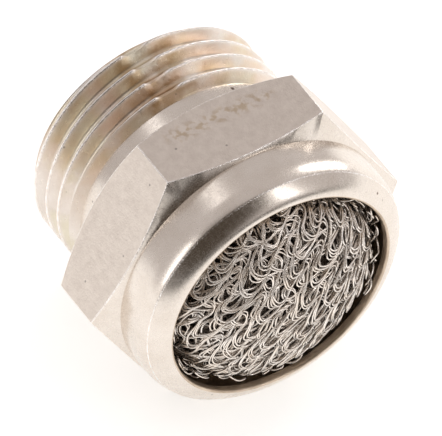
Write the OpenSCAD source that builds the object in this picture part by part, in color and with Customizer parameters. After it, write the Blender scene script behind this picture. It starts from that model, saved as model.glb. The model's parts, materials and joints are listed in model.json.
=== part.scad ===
// Pneumatic exhaust muffler: a turned threaded body whose cup holds a cushion
// of knitted wire. It lies on one flat of its hexagon, with its axis along X:
// the thread points to -X, the domed wire cushion to +X, and X = 0 is the
// seating face behind the hexagon.

/* [Thread] */
// Outside diameter of the pipe thread, G 3/8
thread_d = 16.662; // [16.4:0.002:16.662]
// Pitch of the thread, 19 threads per inch
thread_pitch = 1.337; // [1.2:0.001:1.4]
// Number of crests
thread_crests = 4; // [3:1:4]
// Distance from the seating face to the nearest crest
first_crest = 2.8; // [2.75:0.05:3.1]
// Distance from the seating face to the end of the thread
thread_len = 7.5; // [7.4:0.1:9]
// Diameter of the end face, inside its chamfer
thread_end_d = 15.3; // [15:0.1:16]
// Diameter of the plain neck between the thread and the hexagon
neck_d = 15.25; // [14.95:0.05:15.6]

/* [Hexagon] */
// Size across the flats
hex_af = 19; // [18.8:0.1:20]
// Length from the seating face to the collar
hex_len = 5.2; // [5:0.1:5.4]
// Diameter of the flat seating face, inside the chamfer on the thread side
seat_d = 18.4; // [18:0.1:18.6]
// Angle of the chamfer on the thread side
rear_chamfer = 30; // [20:1:35]
// Angle of the chamfer on the collar side
front_chamfer = 20; // [15:1:30]

/* [Cup] */
// Diameter of the air inlet through the thread
bore_d = 11.5; // [10:0.1:12]
// Outside diameter of the collar
collar_d = 18.5; // [18.3:0.1:18.9]
// Where the collar starts to roll inward
roll_start = 6.8; // [6.7:0.05:7]
// Front of the rolled lip
lip_front = 8.7; // [8.6:0.05:8.9]
// Diameter of the opening inside the lip
opening_d = 15.2; // [15:0.1:15.6]
// Thickness of the rolled lip at the opening
lip_edge = 0.5; // [0.4:0.05:0.7]
// Inside diameter of the cup
cup_d = 17; // [16.9:0.1:17.2]
// Position of the ledge that the cushion sits on
cup_floor = 1.8; // [1.6:0.1:2.2]

/* [Wire cushion] */
// Top of the dome
dome_top = 10.6; // [10.2:0.1:11]
// Level at which the dome is widest
dome_base = 7.35; // [7.2:0.05:7.5]
// Diameter of the dome at that level
dome_d = 14.3; // [14:0.1:14.5]
// Level below which the cushion fills the cup
cushion_shoulder = 5.4; // [5.2:0.1:5.8]
// Thickness of one knitted ply
ply = 0.7; // [0.5:0.05:0.8]
// Lower edge of the two domed plies
ply_hem = 3.6; // [3.2:0.1:4]

/* [Hidden] */
$fn = 96;
// How far a cutting shape runs past the solid it cuts
under = 0.5;
thread_r = thread_d / 2;
// A 55 degree thread truncated by a sixth of its height at crest and root
flank_run = thread_pitch / 3;
crest_half = thread_pitch / 12;
thread_depth = flank_run / tan(27.5);
root_r = thread_r - thread_depth;
last_crest = first_crest + (thread_crests - 1) * thread_pitch;
neck_r = neck_d / 2;
neck_flank = flank_run * (thread_r - neck_r) / thread_depth;
bore_r = bore_d / 2;
bore_chamfer = 0.4;
hex_r = hex_af / sqrt(3);
collar_r = collar_d / 2;
seat_r = seat_d / 2;
rear_drop = (hex_r - seat_r) * tan(rear_chamfer);
front_drop = (hex_r - collar_r) * tan(front_chamfer);
opening_r = opening_d / 2;
cup_r = cup_d / 2;
edge_round = 0.16;
dome_r = dome_d / 2;
back_top = cup_floor + ply;
arc_steps = 24;
nickel = [0.80, 0.76, 0.72];
wire = [0.66, 0.63, 0.60];

// Turns a shape about Z into the same shape about X
module along_x() {
    rotate([0, 90, 0]) children();
}

// Points of a quarter ellipse about (r, x), from its outermost point to its front
function quarter(r, x, semi_r, semi_x) = [
    for (i = [0:arc_steps])
        [r + semi_r * cos(90 * i / arc_steps), x + semi_x * sin(90 * i / arc_steps)]
];

function reversed(points) = [for (i = [len(points) - 1:-1:0]) points[i]];

// One thread ridge, from the hexagon side to the end side
function ridge(x) = [
    [root_r, x + crest_half + flank_run],
    [thread_r, x + crest_half],
    [thread_r, x - crest_half],
    [root_r, x - crest_half - flank_run]
];

// Outer line of a cushion layer, a distance in from the cushion's surface
function cushion_line(inset, hem) = concat(
    [[cup_r - inset, hem]],
    [[cup_r - inset, cushion_shoulder - inset / 2]],
    quarter(0, dome_base, dome_r - inset, dome_top - dome_base - inset)
);

// Everything turned on the outside: thread rings, end chamfer, neck, collar and rolled lip
module turned_outside() {
    middle_ridges = [for (i = [1:thread_crests - 2]) each ridge(-first_crest - i * thread_pitch)];
    roll = quarter(opening_r + edge_round, roll_start, collar_r - opening_r - edge_round,
        lip_front - roll_start);
    rotate_extrude() polygon(concat(
        [[0, lip_front]],
        reversed(roll),
        [[collar_r, cup_floor], [neck_r, cup_floor]],
        [[neck_r, -first_crest + crest_half + neck_flank]],
        [for (i = [1:3]) ridge(-first_crest)[i]],
        middle_ridges,
        [for (i = [0:2]) ridge(-last_crest)[i]],
        [[thread_end_d / 2, -thread_len], [0, -thread_len]]
    ));
}

// Hexagon with a flat up and a flat down, chamfered on both sides
module hexagon() {
    collar_side = hex_len + under * tan(front_chamfer);
    intersection() {
        rotate([0, 0, 30]) cylinder(h = collar_side, r = hex_r, $fn = 6);
        rotate_extrude() polygon([
            [0, 0],
            [seat_r, 0],
            [hex_r + under, rear_drop + under * tan(rear_chamfer)],
            [hex_r + under, hex_len - front_drop - under * tan(front_chamfer)],
            [collar_r - under, collar_side],
            [0, collar_side]
        ]);
    }
}

// The hollow: inlet bore, cup and the underside of the rolled lip
module hollow() {
    lip_under = quarter(opening_r, roll_start, cup_r - opening_r, lip_front - lip_edge - roll_start);
    rotate_extrude() polygon(concat(
        [[0, -thread_len - under], [bore_r + bore_chamfer + under, -thread_len - under]],
        [[bore_r, -thread_len + bore_chamfer], [bore_r, cup_floor], [cup_r, cup_floor]],
        lip_under,
        [[opening_r, lip_front - edge_round], [opening_r + edge_round + under, lip_front + under]],
        [[0, lip_front + under]]
    ));
}

// The whole turned body: thread, neck, hexagon, cup and rolled lip in one piece
module body() {
    color(nickel) along_x() difference() {
        union() {
            turned_outside();
            hexagon();
        }
        hollow();
    }
}

// A domed ply of knitted wire, open at the back
module domed_ply(inset) {
    rotate_extrude() polygon(concat(
        cushion_line(inset, ply_hem),
        reversed(cushion_line(inset + ply, ply_hem))
    ));
}

// Outermost ply, which shows in the opening
module mesh_face_ply() {
    color(wire) along_x() domed_ply(0);
}

// Ply folded under the face ply
module mesh_second_ply() {
    color(wire) along_x() domed_ply(ply);
}

// Wadded core that fills the cup
module mesh_core() {
    color(wire) along_x() rotate_extrude() polygon(concat(
        [[0, back_top], [cup_r, back_top], [cup_r, ply_hem]],
        cushion_line(2 * ply, ply_hem)
    ));
}

// Flat ply across the inlet, resting on the ledge
module mesh_back_ply() {
    color(wire) along_x() translate([0, 0, cup_floor]) cylinder(h = ply, r = cup_r);
}

body();
mesh_face_ply();
mesh_second_ply();
mesh_core();
mesh_back_ply();
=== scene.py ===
import bpy
import json
import math
import random
from mathutils import Matrix, Vector, noise


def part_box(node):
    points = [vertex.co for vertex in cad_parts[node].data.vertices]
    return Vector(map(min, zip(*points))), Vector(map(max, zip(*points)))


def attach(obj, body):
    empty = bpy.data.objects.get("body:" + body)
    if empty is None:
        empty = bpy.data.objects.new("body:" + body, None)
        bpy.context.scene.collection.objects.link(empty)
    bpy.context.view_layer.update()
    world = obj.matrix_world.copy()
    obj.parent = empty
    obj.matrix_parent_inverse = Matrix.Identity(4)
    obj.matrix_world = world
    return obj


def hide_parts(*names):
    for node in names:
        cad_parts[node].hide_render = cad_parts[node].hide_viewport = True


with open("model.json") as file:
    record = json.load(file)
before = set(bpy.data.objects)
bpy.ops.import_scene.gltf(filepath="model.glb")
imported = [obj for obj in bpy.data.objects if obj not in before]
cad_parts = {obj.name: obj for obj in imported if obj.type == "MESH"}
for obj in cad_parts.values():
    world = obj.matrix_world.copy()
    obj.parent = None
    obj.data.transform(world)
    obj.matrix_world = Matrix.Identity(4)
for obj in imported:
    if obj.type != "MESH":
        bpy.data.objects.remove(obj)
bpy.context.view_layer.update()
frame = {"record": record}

# --- Camera ---------------------------------------------------------------------------------
# Set high on the cushion's side of the muffler, a long way off behind a long lens, so that the
# view is almost parallel. It aims just below and to the left of the hexagon's front.
azimuth = math.radians(58.38)
elevation = math.radians(48.43)
view_back = Vector((math.sin(azimuth) * math.cos(elevation),
                    -math.cos(azimuth) * math.cos(elevation),
                    math.sin(elevation)))
view_right = Vector((math.cos(azimuth), math.sin(azimuth), 0))
view_up = view_back.cross(view_right)
aim = Vector((0.00457, 0, 0)) - 0.00148 * view_right + 0.00205 * view_up
camera = bpy.data.objects.new("camera", bpy.data.cameras.new("camera"))
bpy.context.collection.objects.link(camera)
camera.location = aim + 0.6 * view_back
camera.rotation_mode = "QUATERNION"
camera.rotation_quaternion = view_back.to_track_quat("Z", "Y")
camera.data.lens = 805
camera.data.sensor_width = 36
camera.data.clip_end = 10
bpy.context.scene.camera = camera

# --- Floor and light ------------------------------------------------------------------------
# A pale matt table, lit a little from below as well as from above so that shadows stay soft, in
# a light grey tent with soft boxes round it. The tent is open, and dark, on the
# side that the cushion faces.
floor_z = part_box("body")[0].z
bpy.ops.object.select_all(action="DESELECT")
bpy.ops.mesh.primitive_plane_add(size=3, location=(0, 0, floor_z))
floor = bpy.context.object
floor.name = "floor"
paint = bpy.data.materials.new("floor_paint")
paint.use_nodes = True
paint_shader = paint.node_tree.nodes["Principled BSDF"]
paint_shader.inputs["Base Color"].default_value = (0.85, 0.85, 0.84, 1)
paint_shader.inputs["Roughness"].default_value = 0.9
paint_shader.inputs["Emission Color"].default_value = (0.85, 0.85, 0.84, 1)
paint_shader.inputs["Emission Strength"].default_value = 0.62
floor.data.materials.append(paint)


def add(tree, kind, inputs, **settings):
    """Adds a shader node. Each input is given a value, or joined to another node's output."""
    made = tree.nodes.new(kind)
    for key, value in settings.items():
        setattr(made, key, value)
    for key, value in inputs.items():
        if isinstance(value, bpy.types.NodeSocket):
            tree.links.new(value, made.inputs[key])
        else:
            made.inputs[key].default_value = value
    return made


def toward(turn, rise):
    """The direction of a compass turn from +X and a rise above the floor, in degrees."""
    turn, rise = math.radians(turn), math.radians(rise)
    return Vector((math.cos(turn) * math.cos(rise), math.sin(turn) * math.cos(rise), math.sin(rise)))


# A black card lies out of sight in front of the cushion and only darkens what the metal mirrors.
card_start = 0.068
card_size = 1.0
bpy.ops.mesh.primitive_plane_add(size=card_size)
card = bpy.context.object
card.name = "black_card"
card.data.transform(Matrix.Translation((card_start + card_size / 2, 0, 0)))
card.data.transform(Matrix.Rotation(math.radians(-8), 4, "Z"))
card.data.transform(Matrix.Translation((0, 0, floor_z + 0.0005)))
felt = bpy.data.materials.new("black_felt")
felt.use_nodes = True
felt_shader = felt.node_tree.nodes["Principled BSDF"]
felt_shader.inputs["Base Color"].default_value = (0.07, 0.065, 0.06, 1)
felt_shader.inputs["Roughness"].default_value = 0.95
card.data.materials.append(felt)
card.visible_camera = False
card.visible_diffuse = False
card.visible_shadow = False

world = bpy.data.worlds.new("tent")
bpy.context.scene.world = world
world.use_nodes = True
tent = world.node_tree
sight = add(tent, "ShaderNodeTexCoord", {}).outputs["Generated"]
facing = add(tent, "ShaderNodeVectorMath", {0: sight, 1: toward(-27, 33)}, operation="DOT_PRODUCT")
opening = add(tent, "ShaderNodeMapRange", {
    "Value": facing.outputs["Value"], "From Min": math.cos(math.radians(47)),
    "From Max": math.cos(math.radians(30))}, interpolation_type="SMOOTHSTEP")
cloth = add(tent, "ShaderNodeMix", {
    0: opening.outputs["Result"], 6: (0.62, 0.58, 0.57, 1), 7: (0.062, 0.047, 0.034, 1)},
    data_type="RGBA")
tent.links.new(cloth.outputs[2], tent.nodes["Background"].inputs["Color"])


def soft_box(name, place, size, power, seen=True):
    """A flat lamp that faces the muffler. One that isn't seen lights the table, not the metal."""
    lamp = bpy.data.lights.new(name, "AREA")
    lamp.shape = "RECTANGLE"
    lamp.size, lamp.size_y = size
    lamp.energy = power
    box = bpy.data.objects.new(name, lamp)
    bpy.context.collection.objects.link(box)
    box.location = place
    box.rotation_mode = "QUATERNION"
    box.rotation_quaternion = Vector(place).to_track_quat("Z", "Y")
    box.visible_camera = False
    box.visible_glossy = seen


soft_box("left", 0.5 * toward(-86, 22), (0.06, 0.34), 0.19)
soft_box("right", 0.5 * toward(27, 26), (0.06, 0.28), 0.18)
soft_box("back", 0.5 * toward(104, 26), (0.12, 0.30), 0.45)
soft_box("rear", 0.5 * toward(-157, 54), (0.10, 0.10), 0.035)
soft_box("overhead", (0.0, 0.0, 0.7), (0.8, 0.8), 1.35, seen=False)
bpy.context.scene.view_settings.view_transform = "Standard"

# --- Turned body ----------------------------------------------------------------------------
# One piece of brass bar: the pipe thread, neck, collar and cup are turned, the hexagon is left
# from the bar, and the rim is rolled in over the cushion last. It is nickel plated all over.
# Sizes are in millimetres until the piece is finished.
mm = 0.001
mounts = {m["name"]: m for m in frame["record"]["mounts"]}
body_low, body_high = (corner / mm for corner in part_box("body"))
thread_end = body_low.x
lip_front = body_high.x
corner_r = body_high.y
flat_r = body_high.z
thread_r = mounts["pipe_thread"]["dims"]["r_mm"]
bore_r = mounts["air_inlet"]["dims"]["r_mm"]
collar_r = 9.25
seat_r = 9.2
neck_r = 7.62
neck_start = -2.25
hex_front = 5.2
opening_r = 7.6
roll_start = 6.8
cup_r = 8.5
cup_floor = 1.8
around = 192

grain = bpy.data.node_groups.new("plate_grain", "ShaderNodeTree")
for name, kind in (("Position", "Vector"), ("Mottle Scale", "Float"), ("Grain Scale", "Float")):
    grain.interface.new_socket(name, in_out="INPUT", socket_type="NodeSocket" + kind)
for name in ("Mottle", "Grain", "Pits"):
    grain.interface.new_socket(name, in_out="OUTPUT", socket_type="NodeSocketFloat")
given = grain.nodes.new("NodeGroupInput")
result = grain.nodes.new("NodeGroupOutput")
cloud = add(grain, "ShaderNodeTexNoise", {
    "Vector": given.outputs["Position"], "Scale": given.outputs["Mottle Scale"],
    "Detail": 4, "Roughness": 0.6})
cloudy = add(grain, "ShaderNodeMapRange", {"Value": cloud.outputs[0], "From Min": 0.35,
                                           "From Max": 0.65})
fine = add(grain, "ShaderNodeTexNoise", {
    "Vector": given.outputs["Position"], "Scale": given.outputs["Grain Scale"],
    "Detail": 3, "Roughness": 0.65})
fine_spread = add(grain, "ShaderNodeMapRange", {"Value": fine.outputs[0], "From Min": 0.3,
                                                "From Max": 0.7})
dots = add(grain, "ShaderNodeTexVoronoi", {"Vector": given.outputs["Position"], "Scale": 0.55,
                                           "Randomness": 1})
dot = add(grain, "ShaderNodeMapRange", {"Value": dots.outputs["Distance"], "From Min": 0.05,
                                        "From Max": 0.03})
grain.links.new(cloudy.outputs[0], result.inputs["Mottle"])
grain.links.new(fine_spread.outputs[0], result.inputs["Grain"])
grain.links.new(dot.outputs[0], result.inputs["Pits"])


def plating(name, light, dull, smooth, rough, mottle_scale, grain_scale, relief):
    """Nickel plate, mottled between two colours and two roughnesses, with a fine grain."""
    plate = bpy.data.materials.new(name)
    plate.use_nodes = True
    tree = plate.node_tree
    shader = tree.nodes["Principled BSDF"]
    shader.inputs["Metallic"].default_value = 1
    where = add(tree, "ShaderNodeTexCoord", {}).outputs["Object"]
    spot = add(tree, "ShaderNodeVectorMath", {0: where, "Scale": 1 / mm}, operation="SCALE")
    look = add(tree, "ShaderNodeGroup", {}, node_tree=grain)
    tree.links.new(spot.outputs[0], look.inputs["Position"])
    look.inputs["Mottle Scale"].default_value = mottle_scale
    look.inputs["Grain Scale"].default_value = grain_scale
    colour = add(tree, "ShaderNodeMix", {0: look.outputs["Mottle"], 6: (*light, 1), 7: (*dull, 1)},
                 data_type="RGBA")
    pitted = add(tree, "ShaderNodeMix", {0: look.outputs["Pits"], 6: colour.outputs[2],
                                         7: (*(0.55 * part for part in dull), 1)},
                 data_type="RGBA")
    tree.links.new(pitted.outputs[2], shader.inputs["Base Color"])
    sheen = add(tree, "ShaderNodeMapRange", {"Value": look.outputs["Grain"], "To Min": smooth,
                                             "To Max": rough})
    tree.links.new(sheen.outputs[0], shader.inputs["Roughness"])
    bump = add(tree, "ShaderNodeBump", {"Height": look.outputs["Grain"], "Strength": 1,
                                        "Distance": relief * mm})
    tree.links.new(bump.outputs[0], shader.inputs["Normal"])
    return plate, spot.outputs[0], pitted.outputs[2]


def stain(plate, colour, mask, tint):
    """Tints a plating where a mask is, over the colour it has so far."""
    tree = plate.node_tree
    tinted = add(tree, "ShaderNodeMix", {0: mask, 6: colour, 7: (*tint, 1)},
                 data_type="RGBA", blend_type="MULTIPLY")
    tree.links.new(tinted.outputs[2], tree.nodes["Principled BSDF"].inputs["Base Color"])
    return tinted.outputs[2]


def ramp(tree, value, start, end):
    """0 before start and 1 past end, smoothly."""
    return add(tree, "ShaderNodeMapRange", {"Value": value, "From Min": start, "From Max": end},
               interpolation_type="SMOOTHSTEP").outputs[0]


def product(tree, first, second):
    return add(tree, "ShaderNodeMath", {0: first, 1: second}, operation="MULTIPLY").outputs[0]


def patches(tree, spot, scale, start, end, stretch=(1, 1, 1)):
    """Cloudy patches, where a soft noise runs from start to end."""
    place = add(tree, "ShaderNodeMapping", {"Vector": spot, "Scale": stretch}).outputs[0]
    cloud = add(tree, "ShaderNodeTexNoise", {"Vector": place, "Scale": scale, "Detail": 3})
    return ramp(tree, cloud.outputs[0], start, end)


def axial_radius(tree, spot):
    """The distance from the X axis."""
    flat = add(tree, "ShaderNodeVectorMath", {0: spot, 1: (0, 1, 1)}, operation="MULTIPLY")
    return add(tree, "ShaderNodeVectorMath", {0: flat.outputs[0]}, operation="LENGTH").outputs["Value"]


def lathe(name, outline, plate):
    """Turns an outline of (x, radius) points about the X axis into a closed solid."""
    mesh = bpy.data.meshes.new(name)
    count = len(outline)
    on_axis = outline[0][1] == 0
    links = [(i, i + 1) for i in range(count - 1)] + ([] if on_axis else [(count - 1, 0)])
    mesh.from_pydata([(x, r, 0) for x, r in outline], links, [])
    turned = bpy.data.objects.new(name, mesh)
    bpy.context.collection.objects.link(turned)
    bpy.ops.object.select_all(action="DESELECT")
    turned.select_set(True)
    bpy.context.view_layer.objects.active = turned
    bpy.ops.object.mode_set(mode="EDIT")
    bpy.ops.mesh.select_all(action="SELECT")
    bpy.ops.mesh.spin(steps=around, angle=math.tau, center=(0, 0, 0), axis=(1, 0, 0))
    bpy.ops.mesh.select_all(action="SELECT")
    bpy.ops.mesh.remove_doubles(threshold=0.0001)
    bpy.ops.mesh.normals_make_consistent(inside=False)
    bpy.ops.object.mode_set(mode="OBJECT")
    mesh.materials.append(plate)
    return turned


def arc(x, r, semi_x, semi_r, start, end, steps):
    """Points on an ellipse about (x, r). 0 degrees is outward and 90 is towards the cushion."""
    turn = [math.radians(start + (end - start) * i / steps) for i in range(steps + 1)]
    return [(x + semi_x * math.sin(a), r + semi_r * math.cos(a)) for a in turn]


def cut(piece, tool, operation):
    """Joins, cuts or trims a piece with a tool solid, which is used up."""
    change = piece.modifiers.new(operation.lower(), "BOOLEAN")
    change.operation = operation
    change.object = tool
    change.solver = "EXACT"
    change.material_mode = "TRANSFER"
    bpy.ops.object.select_all(action="DESELECT")
    piece.select_set(True)
    bpy.context.view_layer.objects.active = piece
    bpy.ops.object.modifier_apply(modifier=change.name)
    bpy.data.objects.remove(tool)


# Four finishes of the one plating: as turned in the thread, satin on the hexagon, bright on the collar and
# lip, burnished where edges rub and near white there as a painted highlight, and darker and browner inside
# as painted shade.
turned_plate, spot, colour = plating("nickel_thread", (0.87, 0.81, 0.755), (0.79, 0.72, 0.66),
                                     0.26, 0.40, 0.5, 7, 0.006)
tree = turned_plate.node_tree
low = ramp(tree, axial_radius(tree, spot), 8.30, 8.05)
height = add(tree, "ShaderNodeSeparateXYZ", {0: spot})
upper = ramp(tree, height.outputs["Z"], 1.0, 5.0)
bare = product(tree, product(tree, low, upper), patches(tree, spot, 0.45, 0.36, 0.62))
colour = stain(turned_plate, colour, bare, (0.96, 0.87, 0.79))
left_of_top = add(tree, "ShaderNodeMath", {0: height.outputs["Y"], 1: 0.4}, operation="ADD")
from_knock = add(tree, "ShaderNodeMath", {0: left_of_top.outputs[0]}, operation="ABSOLUTE")
by_knock = product(tree, product(tree, low, upper), ramp(tree, from_knock.outputs[0], 4.5, 1.2))
grime = product(tree, by_knock, patches(tree, spot, 0.5, 0.42, 0.62))
colour = stain(turned_plate, colour, grime, (0.74, 0.65, 0.53))
from_burn = add(tree, "ShaderNodeMath", {0: height.outputs["Y"], 1: 1.9}, operation="ADD")
off_burn = add(tree, "ShaderNodeMath", {0: from_burn.outputs[0]}, operation="ABSOLUTE")
burn = product(tree, product(tree, low, upper), ramp(tree, off_burn.outputs[0], 0.9, 0.2))
burn = product(tree, burn, patches(tree, spot, 0.9, 0.32, 0.52))
colour = stain(turned_plate, colour, burn, (0.76, 0.67, 0.56))
tarnish = product(tree, low, patches(tree, spot, 0.30, 0.42, 0.62))
stain(turned_plate, colour, tarnish, (0.94, 0.94, 0.84))

satin_plate, spot, colour = plating("nickel_satin", (0.79, 0.715, 0.645), (0.71, 0.635, 0.57),
                                    0.28, 0.46, 1.8, 7, 0.011)
tree = satin_plate.node_tree
height = add(tree, "ShaderNodeSeparateXYZ", {0: spot})
on_top = ramp(tree, height.outputs["Z"], flat_r - 0.05, flat_r - 0.02)
band = add(tree, "ShaderNodeMath", {0: height.outputs["X"], 1: 1.6}, operation="SUBTRACT")
band_off = add(tree, "ShaderNodeMath", {0: band.outputs[0]}, operation="ABSOLUTE")
band_near = ramp(tree, band_off.outputs[0], 0.9, 0.1)
spread = ramp(tree, axial_radius(tree, spot), 10.35, 10.0)
marks = product(tree, product(tree, on_top, band_near), patches(tree, spot, 2.2, 0.46, 0.62))
stain(satin_plate, colour, product(tree, marks, spread), (0.80, 0.73, 0.62))

bright_plate, spot, colour = plating("nickel_bright", (0.80, 0.735, 0.67), (0.74, 0.67, 0.60),
                                     0.22, 0.30, 0.6, 4, 0.0006)
tree = bright_plate.node_tree
near = add(tree, "ShaderNodeVectorMath", {0: spot, 1: (8.4, 7.07, 4.82)}, operation="DISTANCE")
colour = stain(bright_plate, colour, ramp(tree, near.outputs["Value"], 0.14, 0.07), (0.2, 0.14, 0.12))
near = add(tree, "ShaderNodeVectorMath", {0: spot, 1: (-1.83, 3.02, 6.99)}, operation="DISTANCE")
stain(bright_plate, colour, ramp(tree, near.outputs["Value"], 0.16, 0.08), (0.2, 0.16, 0.14))

# Painted highlight in part: the rubbed edges get a near-white colour, lighter than the rest of the
# plating, for the bright lines they catch.
burnished_highlight_plate, spot, colour = plating("nickel_burnished_highlit", (1.0, 0.97, 0.94), (0.80, 0.73, 0.67),
                                   0.16, 0.30, 3.2, 9, 0.012)
# Painted shade: the faces the hollow cuts, the inner rim too, get a darker, browner colour than the
# outside.
hollow_shade_plate, spot, colour = plating("nickel_inside_painted_shade", (0.72, 0.60, 0.48), (0.52, 0.42, 0.32),
                                    0.30, 0.46, 0.5, 5, 0.008)

# The thread is one ridge wound along the shank, then trimmed by the end chamfer and the neck.
pitch = 1.337
flank = pitch / 3
depth = 0.80
crest_half = 0.05
root_round = (pitch / 2 - crest_half) / math.tan(math.radians(30)) - depth
root_at = thread_r - depth + root_round
crest_at = -3.136
first_turn = crest_at - 5 * pitch
half = [(pitch / 2 - root_round * math.sin(math.radians(a)),
         root_at - root_round * math.cos(math.radians(a))) for a in (0, 15, 30, 45, 60)]
half += [(crest_half + 0.043, thread_r - 0.075), (crest_half + 0.025, thread_r - 0.035),
         (crest_half - 0.005, thread_r - 0.010), (crest_half - 0.035, thread_r)]
ridge = [(first_turn - x, r) for x, r in half] + [(first_turn + x, r) for x, r in reversed(half)]
mesh = bpy.data.meshes.new("thread")
mesh.from_pydata([(x, r, 0) for x, r in ridge], [(i, i + 1) for i in range(len(ridge) - 1)], [])
thread = bpy.data.objects.new("thread", mesh)
bpy.context.collection.objects.link(thread)
bpy.ops.object.select_all(action="DESELECT")
thread.select_set(True)
bpy.context.view_layer.objects.active = thread
wind = thread.modifiers.new("wind", "SCREW")
wind.axis = "X"
wind.steps = wind.render_steps = around
wind.screw_offset = pitch
wind.iterations = 8
wind.use_merge_vertices = False
bpy.ops.object.modifier_apply(modifier=wind.name)
bpy.ops.object.mode_set(mode="EDIT")
bpy.ops.mesh.select_all(action="SELECT")
bpy.ops.mesh.remove_doubles(threshold=0.0005)
for place, inner, outer in ((thread_end - 0.3, True, False), (neck_start + 0.6, False, True)):
    bpy.ops.mesh.select_all(action="SELECT")
    bpy.ops.mesh.bisect(plane_co=(place, 0, 0), plane_no=(1, 0, 0), use_fill=True,
                        clear_inner=inner, clear_outer=outer, threshold=0.00001)
bpy.ops.mesh.select_all(action="SELECT")
bpy.ops.mesh.normals_make_consistent(inside=False)
bpy.ops.object.mode_set(mode="OBJECT")

# A knock has flattened the crests in a strip along the top, and every crest is a little ragged.
knock_turn = math.radians(97)
knock_width = math.radians(6)
knock_depth = 0.24
for vertex in mesh.vertices:
    x, y, z = vertex.co
    r = math.hypot(y, z)
    away = abs(math.atan2(z, y) - knock_turn) / knock_width
    ragged = noise.noise((x * 1.5, y * 1.5, z * 1.5))
    lowered = r
    if away < 1:
        lowered = min(r, thread_r - knock_depth * (1 - away ** 4) * (1 + 0.3 * ragged))
    if r > thread_r - 0.1:
        lowered -= 0.015 * abs(noise.noise((x * 3, y * 3, z * 3)))
    vertex.co = (x, y * lowered / r, z * lowered / r)
mesh.materials.append(turned_plate)
mesh.materials.append(burnished_highlight_plate)
# The crests take the burnished plate, whose near-white colour is partly a painted highlight.
for face in mesh.polygons:
    y, z = face.center.y, face.center.z
    if math.hypot(y, z) > thread_r - 0.07:
        face.material_index = 1

end_r = 7.62
relief = 0.12
envelope = lathe("envelope", [
    (thread_end, 0), (thread_end, end_r),
    (thread_end + 0.9 * (thread_r - end_r), thread_r + 0.02),
    (neck_start - flank, thread_r + 0.02), (neck_start + 0.06, neck_r - relief),
    (neck_start + 0.3, neck_r - relief), (neck_start + 0.3, 0)], turned_plate)
cut(thread, envelope, "INTERSECT")

# The neck, collar and rolled lip are turned as one blank. The roller left a crease in the lip,
# with an easy curve behind it and a steeper one in front.
rim = 0.16
seat_fillet = 0.15
crease_x, crease_r = 7.85, 9.02
roll_r = 2.51
roll_turn = 24.7
face_curve = 1.7
face_drop = crease_r - opening_r - rim
lip_face = []
for i in range(1, 25):
    left = 1 - i / 24
    lip_face.append((lip_front - (lip_front - crease_x) * left ** face_curve,
                     opening_r + rim + face_drop * left))
roll = arc(roll_start, collar_r - roll_r, roll_r, roll_r, 0, roll_turn, 14)
blank = lathe("blank", [(neck_start, 0), (neck_start, neck_r - 0.05), (neck_start + 0.05, neck_r),
    *arc(-seat_fillet, neck_r + seat_fillet, seat_fillet, -seat_fillet, 0, 90, 4),
    (cup_floor, neck_r + seat_fillet), (cup_floor, collar_r), *roll, *lip_face,
    (lip_front, 0)], bright_plate)
# The crease strip takes the burnished plate, whose near-white colour is partly a painted highlight.
blank.data.materials.append(burnished_highlight_plate)
for face in blank.data.polygons:
    if roll[-1][0] - 0.01 < face.center.x < lip_face[0][0] and face.center.yz.length > 8.9:
        face.material_index = 1

# The hexagon has a flat up and a flat down. Its corners are broken and both its ends chamfered,
# and each edge is rounded over a strip of its own, which the cutter has left a little ragged.
corner_round = 0.10
corner_out = corner_r - corner_round / math.sin(math.radians(60))
rear_slope = math.tan(math.radians(30))
front_slope = math.tan(math.radians(20))
inside_r = 7.0
edge_width = 0.055
flat_steps = 18
outline = []
for corner in range(6):
    middle = math.radians(60 * corner)
    for i in range(5):
        a = middle + math.radians(-30 + 15 * i)
        outline.append((corner_out * math.cos(middle) + corner_round * math.cos(a),
                        corner_out * math.sin(middle) + corner_round * math.sin(a), i < 4))
    y0, z0, broken = outline[-1]
    ahead = math.radians(60 * corner + 60)
    a = ahead - math.radians(30)
    y1 = corner_out * math.cos(ahead) + corner_round * math.cos(a)
    z1 = corner_out * math.sin(ahead) + corner_round * math.sin(a)
    outline += [(y0 + (y1 - y0) * i / flat_steps, z0 + (z1 - z0) * i / flat_steps, False)
                for i in range(1, flat_steps)]


def rounded(points, widths):
    """Replaces each point of a profile with three, where it has a width to be rounded over."""
    line = []
    for i, (point, width) in enumerate(zip(points, widths)):
        if not width:
            line.append(point)
            continue
        back = (Vector(points[i - 1]) - Vector(point)).normalized() * width
        on = (Vector(points[i + 1]) - Vector(point)).normalized() * width
        line += [Vector(point) + back, Vector(point) + 0.29 * (back + on), Vector(point) + on]
    return line


verts, faces, finishes = [], [], []
for y, z, broken in outline:
    r = math.hypot(y, z)
    burr = 1 + 0.7 * noise.noise((y * 2.5, z * 2.5, 0))
    front = hex_front - (r - collar_r) * front_slope
    profile = rounded(
        [(0, inside_r), (0, seat_r), ((r - seat_r) * rear_slope, r), (front, r),
         (hex_front + 0.6 * front_slope, collar_r - 0.6), (hex_front + 0.6 * front_slope, inside_r)],
        [0, edge_width, edge_width * burr, edge_width * burr, 0, 0])
    verts += [(x, y * rise / r, z * rise / r) for x, rise in profile]
rows = len(profile)
edge_rows = (1, 2, 4, 5, 7, 8)
chamfer_rows = (0, 3, 9, 10)
for i, (y, z, broken) in enumerate(outline):
    ahead = (i + 1) % len(outline)
    for j in range(rows):
        up = (j + 1) % rows
        faces.append((i * rows + j, i * rows + up, ahead * rows + up, ahead * rows + j))
        # Edge strips take the burnished plate, whose near-white colour is partly a painted highlight.
        edge = j in edge_rows or (broken and 3 < j < 9)
        finishes.append(1 if edge else 2 if j in chamfer_rows else 0)
mesh = bpy.data.meshes.new("hexagon")
mesh.from_pydata(verts, [], faces)
for plate in (satin_plate, burnished_highlight_plate, bright_plate):
    mesh.materials.append(plate)
for face, finish in zip(mesh.polygons, finishes):
    face.material_index = finish
body = bpy.data.objects.new("turned_body", mesh)
bpy.context.collection.objects.link(body)
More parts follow.
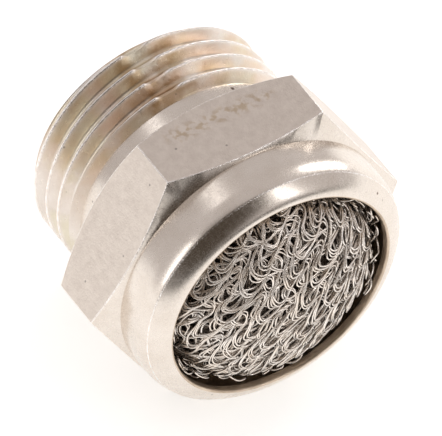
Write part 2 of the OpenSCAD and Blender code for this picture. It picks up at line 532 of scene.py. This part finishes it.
bpy.ops.object.select_all(action="DESELECT")
body.select_set(True)
bpy.context.view_layer.objects.active = body
bpy.ops.object.mode_set(mode="EDIT")
bpy.ops.mesh.select_all(action="SELECT")
bpy.ops.mesh.normals_make_consistent(inside=False)
bpy.ops.object.mode_set(mode="OBJECT")
cut(body, blank, "UNION")
cut(body, thread, "UNION")

# The hollow is cut last: inlet, ledge, cup and the underside of the rolled lip.
lip_edge = 0.5
# The hollow's faces take the darker inside plate, which is painted shade of the cup.
hollow = lathe("hollow", [
    (thread_end - 1, 0), (thread_end - 1, bore_r + 1.4), (thread_end + 0.4, bore_r),
    (cup_floor, bore_r), (cup_floor, cup_r),
    *arc(roll_start, opening_r, lip_front - lip_edge - roll_start, cup_r - opening_r, 0, 90, 16),
    *arc(lip_front - rim, opening_r + rim, rim, -rim, 0, 90, 5),
    (lip_front + 0.1, opening_r + rim + 0.2), (lip_front + 0.4, opening_r + rim + 0.2),
    (lip_front + 0.4, 0)], hollow_shade_plate)
cut(body, hollow, "DIFFERENCE")
bpy.ops.object.mode_set(mode="EDIT")
bpy.ops.mesh.select_all(action="SELECT")
bpy.ops.mesh.remove_doubles(threshold=0.0002)
bpy.ops.object.mode_set(mode="OBJECT")
body.data.transform(Matrix.Scale(mm, 4))
bpy.ops.object.shade_smooth_by_angle(angle=math.radians(32))
even = body.modifiers.new("even", "WEIGHTED_NORMAL")
even.keep_sharp = True
bpy.ops.object.modifier_apply(modifier=even.name)
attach(body, "root")
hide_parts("body")

# --- Wire cushion ---------------------------------------------------------------------------
# A stocking knitted from two fine stainless wires run side by side, folded over and over into a
# wad and pressed into the cup. The folds lie on each other as plies, each a little further in
# and turned from the last, and the outermost ones stretch into the dome.
wire_r = 0.062
cushion_low, cushion_high = (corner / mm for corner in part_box("mesh_face_ply"))
dome_top = cushion_high.x
dome_base = 7.35
dome_r = 7.15
shoulder = 5.4
side_r = cushion_high.z - 0.1
random.seed(7)


def meridian(inset):
    """The dome's line from its top down its side, a distance in from the cushion's surface."""
    line = arc(dome_base, 0, dome_top - dome_base - inset, dome_r - inset, 90, 0, 40)
    line += [(shoulder, side_r - inset), (shoulder - 2, side_r - inset)]
    far = [0]
    for (xa, ra), (xb, rb) in zip(line, line[1:]):
        far.append(far[-1] + math.hypot(xb - xa, rb - ra))
    return line, far


def flat_ply(level):
    """The line of a flat ply across the cup."""
    return [(level, 0), (level, side_r)], [0, side_r]


def on_ply(ply_line, along, angle, lift):
    """The point a given way out from a ply's middle, lifted off the ply, and None past its hem."""
    line, far = ply_line
    if along >= far[-1]:
        return None
    k = max(i for i in range(len(far) - 1) if far[i] <= along)
    part = (along - far[k]) / (far[k + 1] - far[k])
    (xa, ra), (xb, rb) = line[k], line[k + 1]
    length = far[k + 1] - far[k]
    out_x, out_r = (ra - rb) / length, (xb - xa) / length
    if out_x < 0:
        out_x, out_r = -out_x, -out_r
    x = xa + part * (xb - xa) + lift * abs(out_x)
    r = ra + part * (rb - ra) + lift * abs(out_r)
    return (x, r * math.cos(angle), r * math.sin(angle))


def wire_curve(name):
    """An empty curve that any lines put in it turn into round wire."""
    curve = bpy.data.curves.new(name, "CURVE")
    curve.dimensions = "3D"
    curve.bevel_depth = wire_r
    curve.bevel_resolution = 1
    curve.use_fill_caps = True
    return curve


def lay_wire(curve, points):
    """One length of wire through points."""
    line = curve.splines.new("POLY")
    line.points.add(len(points) - 1)
    for point, xyz in zip(line.points, points):
        point.co = (*xyz, 1)
    line.use_smooth = True


def as_mesh(name, curve):
    """Turns the wires into a mesh, in metres, that rides with the body."""
    ply = bpy.data.objects.new(name, curve)
    bpy.context.collection.objects.link(ply)
    bpy.ops.object.select_all(action="DESELECT")
    ply.select_set(True)
    bpy.context.view_layer.objects.active = ply
    bpy.ops.object.convert(target="MESH")
    ply = bpy.context.object
    bpy.ops.object.mode_set(mode="EDIT")
    bpy.ops.mesh.select_all(action="SELECT")
    bpy.ops.mesh.remove_doubles(threshold=0.0005)
    bpy.ops.mesh.normals_make_consistent(inside=False)
    bpy.ops.object.mode_set(mode="OBJECT")
    ply.data.transform(Matrix.Scale(mm, 4))
    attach(ply, "root")
    return ply


def knit(name, ply_line, turn, reach, wale=2.2, course=1.22, seed=0, strands=2, steps=26):
    """One knitted ply: rows of loops, each row caught in the row before, laid over the ply."""
    curve = wire_curve(name)
    loop_h = 1.1 * course
    rows = int(reach / course) + 2
    loops = int(reach / wale) + 2
    wander = Vector((seed * 17.3, seed * 5.1, 0))
    for row in range(-rows, rows + 1):
        slip = random.uniform(-0.15, 0.15)
        for strand in range(strands):
            run = []
            for i in range(-loops * steps, loops * steps + 1):
                phase = math.tau * i / steps
                u = slip + wale * phase / math.tau + 0.07 * wale * math.sin(2 * phase)
                tall = 1 + 0.45 * noise.noise((phase * 0.35, row * 2.7, seed * 3.1))
                v = row * course - loop_h * tall * math.cos(phase)
                swell = (strand - (strands - 1) / 2) * (0.22 + 0.2 * noise.noise((phase * 0.5, row, seed)))
                v -= swell * math.cos(phase)
                u += swell * math.sin(phase) * (0.9 if strand else -0.4)
                place = Vector((u, v, 0)) * 0.33 + wander
                drift = noise.noise_vector(place) * 0.6 + noise.noise_vector(place * 2.9) * 0.28
                u += drift.x
                v += drift.y
                lift = 0.13 * math.cos(phase) + 0.04 * math.cos(2 * phase) + 0.12 * drift.z
                angle = math.atan2(v, u) + turn
                along = math.hypot(u, v)
                spot = on_ply(ply_line, along, angle, lift) if along < reach else None
                if spot:
                    run.append(spot)
                if run and (not spot or i == loops * steps):
                    if len(run) > 3:
                        lay_wire(curve, run)
                    run = []
    return as_mesh(name, curve)


plies = [
    ("knit_face", "mesh_face_ply", meridian(0.26), -40, 10.4),
    ("knit_under_face", "mesh_face_ply", meridian(0.40), -75, 10.4),
    ("knit_second", "mesh_second_ply", meridian(0.55), -10, 10.2),
    ("knit_under_second", "mesh_second_ply", meridian(0.82), -50, 10.0),
    ("knit_core_1", "mesh_core", meridian(1.05), 20, 9.6),
    ("knit_core_2", "mesh_core", meridian(1.55), 70, 9.2),
    ("knit_core_3", "mesh_core", meridian(2.1), 10, 8.8),
    ("knit_core_4", "mesh_core", flat_ply(5.6), 80, 8.3),
    ("knit_core_5", "mesh_core", flat_ply(4.2), 30, 8.3),
    ("knit_back", "mesh_back_ply", flat_ply(2.3), 60, 8.3),
    ("knit_back_under", "mesh_back_ply", flat_ply(2.0), 110, 8.3),
]


def drawn_wire(name, colour, dull, smooth, rough):
    """Bare stainless wire, dulled here and there by lubricant burnt on in drawing, with painted shade
    darkening it towards its outline.
    """
    wire = bpy.data.materials.new(name)
    wire.use_nodes = True
    tree = wire.node_tree
    shader = tree.nodes["Principled BSDF"]
    shader.inputs["Metallic"].default_value = 0.85
    where = add(tree, "ShaderNodeTexCoord", {}).outputs["Object"]
    spot = add(tree, "ShaderNodeVectorMath", {0: where, "Scale": 1 / mm}, operation="SCALE")
    look = add(tree, "ShaderNodeGroup", {}, node_tree=grain)
    tree.links.new(spot.outputs[0], look.inputs["Position"])
    look.inputs["Mottle Scale"].default_value = 1.1
    look.inputs["Grain Scale"].default_value = 12
    tint = add(tree, "ShaderNodeMix", {0: look.outputs["Mottle"], 6: (*colour, 1), 7: (*dull, 1)},
               data_type="RGBA")
    # Painted shade: the colour darkens towards each wire's outline, as if shaded by the wires around it.
    edge = add(tree, "ShaderNodeLayerWeight", {"Blend": 0.5}).outputs["Facing"]
    shaded = ramp(tree, edge, 0.28, 0.80)
    edge_shade = add(tree, "ShaderNodeMix", {0: shaded, 6: tint.outputs[2], 7: (0.09, 0.07, 0.055, 1)},
               data_type="RGBA")
    tree.links.new(edge_shade.outputs[2], shader.inputs["Base Color"])
    sheen = add(tree, "ShaderNodeMapRange", {"Value": look.outputs["Grain"], "To Min": smooth,
                                             "To Max": rough})
    tree.links.new(sheen.outputs[0], shader.inputs["Roughness"])
    return wire


# Lit and shaded copies of the one wire: the outer plies and the hem get the bright copy, and the deeper
# plies get a dark copy that is painted shade inside the wad.
outer_wire = drawn_wire("outer_wire", (1.0, 0.94, 0.88), (0.90, 0.80, 0.70), 0.14, 0.28)
shaded_wire = drawn_wire("shaded_wire", (0.34, 0.28, 0.24), (0.22, 0.18, 0.15), 0.30, 0.46)
for index, (name, node, line, turn, reach) in enumerate(plies):
    ply = knit(name, line, math.radians(turn), reach, seed=index)
    ply.data.materials.append(outer_wire if index < 3 else shaded_wire)
    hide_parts(node)

# The cut ends and slack loops of the hem stick out into the gap under the rolled rim.
hem_curve = wire_curve("knit_hem")
hem_wires = 210
for i in range(hem_wires):
    at = math.tau * (i + random.random()) / hem_wires
    span = random.uniform(0.10, 0.26)
    x = random.uniform(5.4, 8.15)
    under_rim = x < 6.8
    r = random.uniform(7.1, 8.1 if under_rim else 7.45)
    rise, swing, slope = (random.uniform(-0.6, 0.6) for _ in range(3))
    bow = random.uniform(0.1, 0.35)
    ends = []
    for k in range(11):
        t = k / 10 - 0.5
        reach = min(r + swing * t + bow * (0.25 - t * t) * 2, side_r if under_rim else 7.5)
        turn = at + span * t + 0.05 * slope * math.sin(math.tau * t)
        ends.append((x + rise * t + bow * math.cos(math.pi * t), reach * math.cos(turn),
                     reach * math.sin(turn)))
    lay_wire(hem_curve, ends)
hem = as_mesh("knit_hem", hem_curve)
hem.data.materials.append(outer_wire)
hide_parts("mesh_face_ply")
